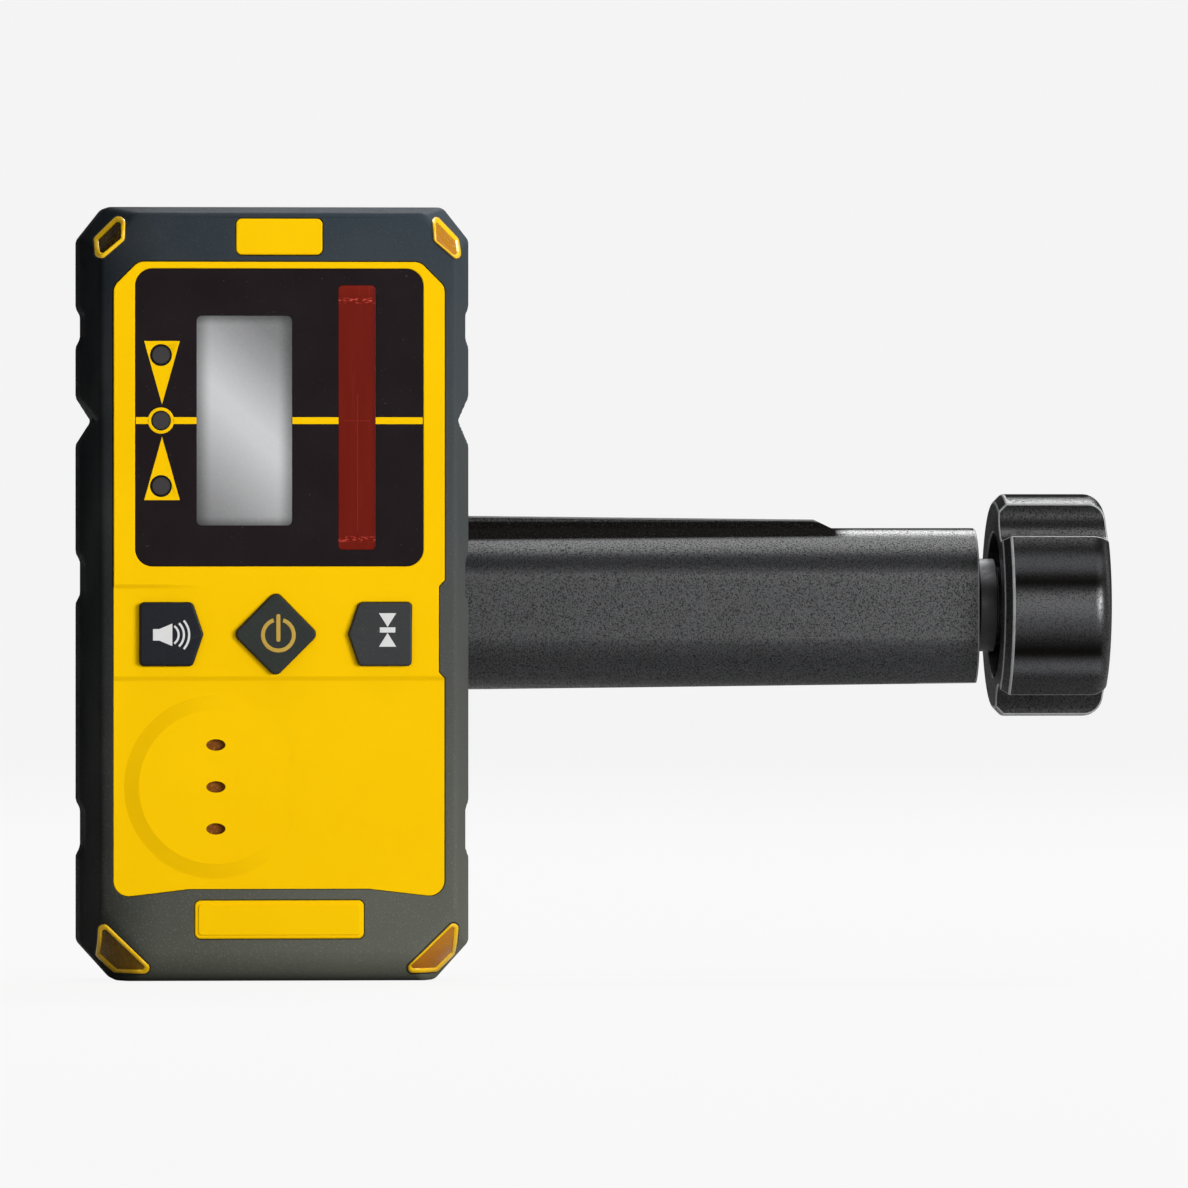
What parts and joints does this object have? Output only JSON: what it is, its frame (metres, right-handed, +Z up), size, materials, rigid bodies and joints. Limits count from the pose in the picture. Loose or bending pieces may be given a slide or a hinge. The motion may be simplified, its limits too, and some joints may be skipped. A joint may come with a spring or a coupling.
{
  "type": "laser receiver",
  "caption": "Hand-held laser receiver with display, keys and red sensor window in a rubber-skinned yellow case, on a screw clamp that grips a levelling rod.",
  "frame": {"origin": "middle of the receiver's base, half way through its depth", "axes": "+Z up along the case, +X to the right towards the clamp knob, +Y to the rear; the display faces -Y"},
  "size_m": [0.2012, 0.0743, 0.148],
  "materials": {
    "case_yellow": "satin moulded yellow plastic",
    "grip_skin": "soft dark grey overmould with a fine grain",
    "seal": "plain black seal",
    "steel": "plated steel",
    "amber": "dark amber lens",
    "panel_black": "smooth black panel with yellow printed marks",
    "display_glass": "grey display window",
    "display_body": "display frame",
    "red_filter": "clear dark red filter",
    "circuit_board": "green circuit board",
    "chip_black": "moulded chips",
    "lamp_lens": "smoked lamp lens",
    "key_grey": "dark grey key",
    "brass": "turned brass",
    "battery_case": "plain battery sleeve",
    "thumb_black": "moulded thumb screw",
    "clamp_grey": "grained dark grey plastic",
    "pad_rubber": "ribbed black rubber"
  },
  "bodies": {
    "receiver": {"front_shell": "case_yellow", "front_bumper": "grip_skin", "rear_shell": "case_yellow", "rear_bumper": "grip_skin", "case_gasket": "seal", "case_screws": "steel", "corner_lenses": "amber", "display_panel": "panel_black", "lcd_window": "display_glass", "lcd_module": "display_body", "sensor_window": "red_filter", "sensor_board": "circuit_board", "photodiodes": "chip_black", "led_lenses": "lamp_lens", "main_board": "circuit_board", "tact_switches": "steel", "buzzer": "brass", "battery": "battery_case", "battery_contacts": "steel", "door_pin": "steel", "mount_insert": "brass", "clamp_bracket": "clamp_grey", "fixed_jaw_pad": "pad_rubber", "end_bush": "brass"},
    "volume_key": {"volume_button": "key_grey"},
    "power_key": {"power_button": "key_grey"},
    "accuracy_key": {"accuracy_button": "key_grey"},
    "door": {"battery_door": "case_yellow"},
    "thumb_screw": {"mount_screw": "thumb_black"},
    "jaw": {"moving_jaw": "clamp_grey", "moving_jaw_pad": "pad_rubber", "jaw_nut": "brass"},
    "knob": {"clamp_knob": "clamp_grey", "lead_screw": "steel", "thrust_washer": "steel", "retaining_clip": "steel"}
  },
  "joints": [
    {"name": "volume_press", "type": "slide", "parent": "receiver", "child": "volume_key", "axis": [0, 1, 0], "range_m": [0, 0.0008], "stiffness_N_per_m": 600, "springref_m": -0.001},
    {"name": "power_press", "type": "slide", "parent": "receiver", "child": "power_key", "axis": [0, 1, 0], "range_m": [0, 0.0008], "stiffness_N_per_m": 600, "springref_m": -0.001},
    {"name": "accuracy_press", "type": "slide", "parent": "receiver", "child": "accuracy_key", "axis": [0, 1, 0], "range_m": [0, 0.0008], "stiffness_N_per_m": 600, "springref_m": -0.001},
    {"name": "battery_door_hinge", "type": "hinge", "parent": "receiver", "child": "door", "pos_m": [0, 0.01345, 0.007], "axis": [-1, 0, 0], "range_deg": [0, 90]},
    {"name": "thumb_screw_turn", "type": "hinge", "parent": "receiver", "child": "thumb_screw", "pos_m": [0, 0.02, 0.0758], "axis": [0, 1, 0], "range_deg": [0, 1800]},
    {"name": "knob_turn", "type": "hinge", "parent": "receiver", "child": "knob", "pos_m": [0.1516, 0.026, 0.0716], "axis": [1, 0, 0], "range_deg": [-4800, 1680]},
    {"name": "jaw_slide", "type": "slide", "parent": "receiver", "child": "jaw", "axis": [1, 0, 0], "range_m": [-0.0401, 0.0141]}
  ],
  "couplings": [
    {"joint": "jaw_slide", "follows": "knob_turn", "m_per_rad": 0.00047746}
  ]
}
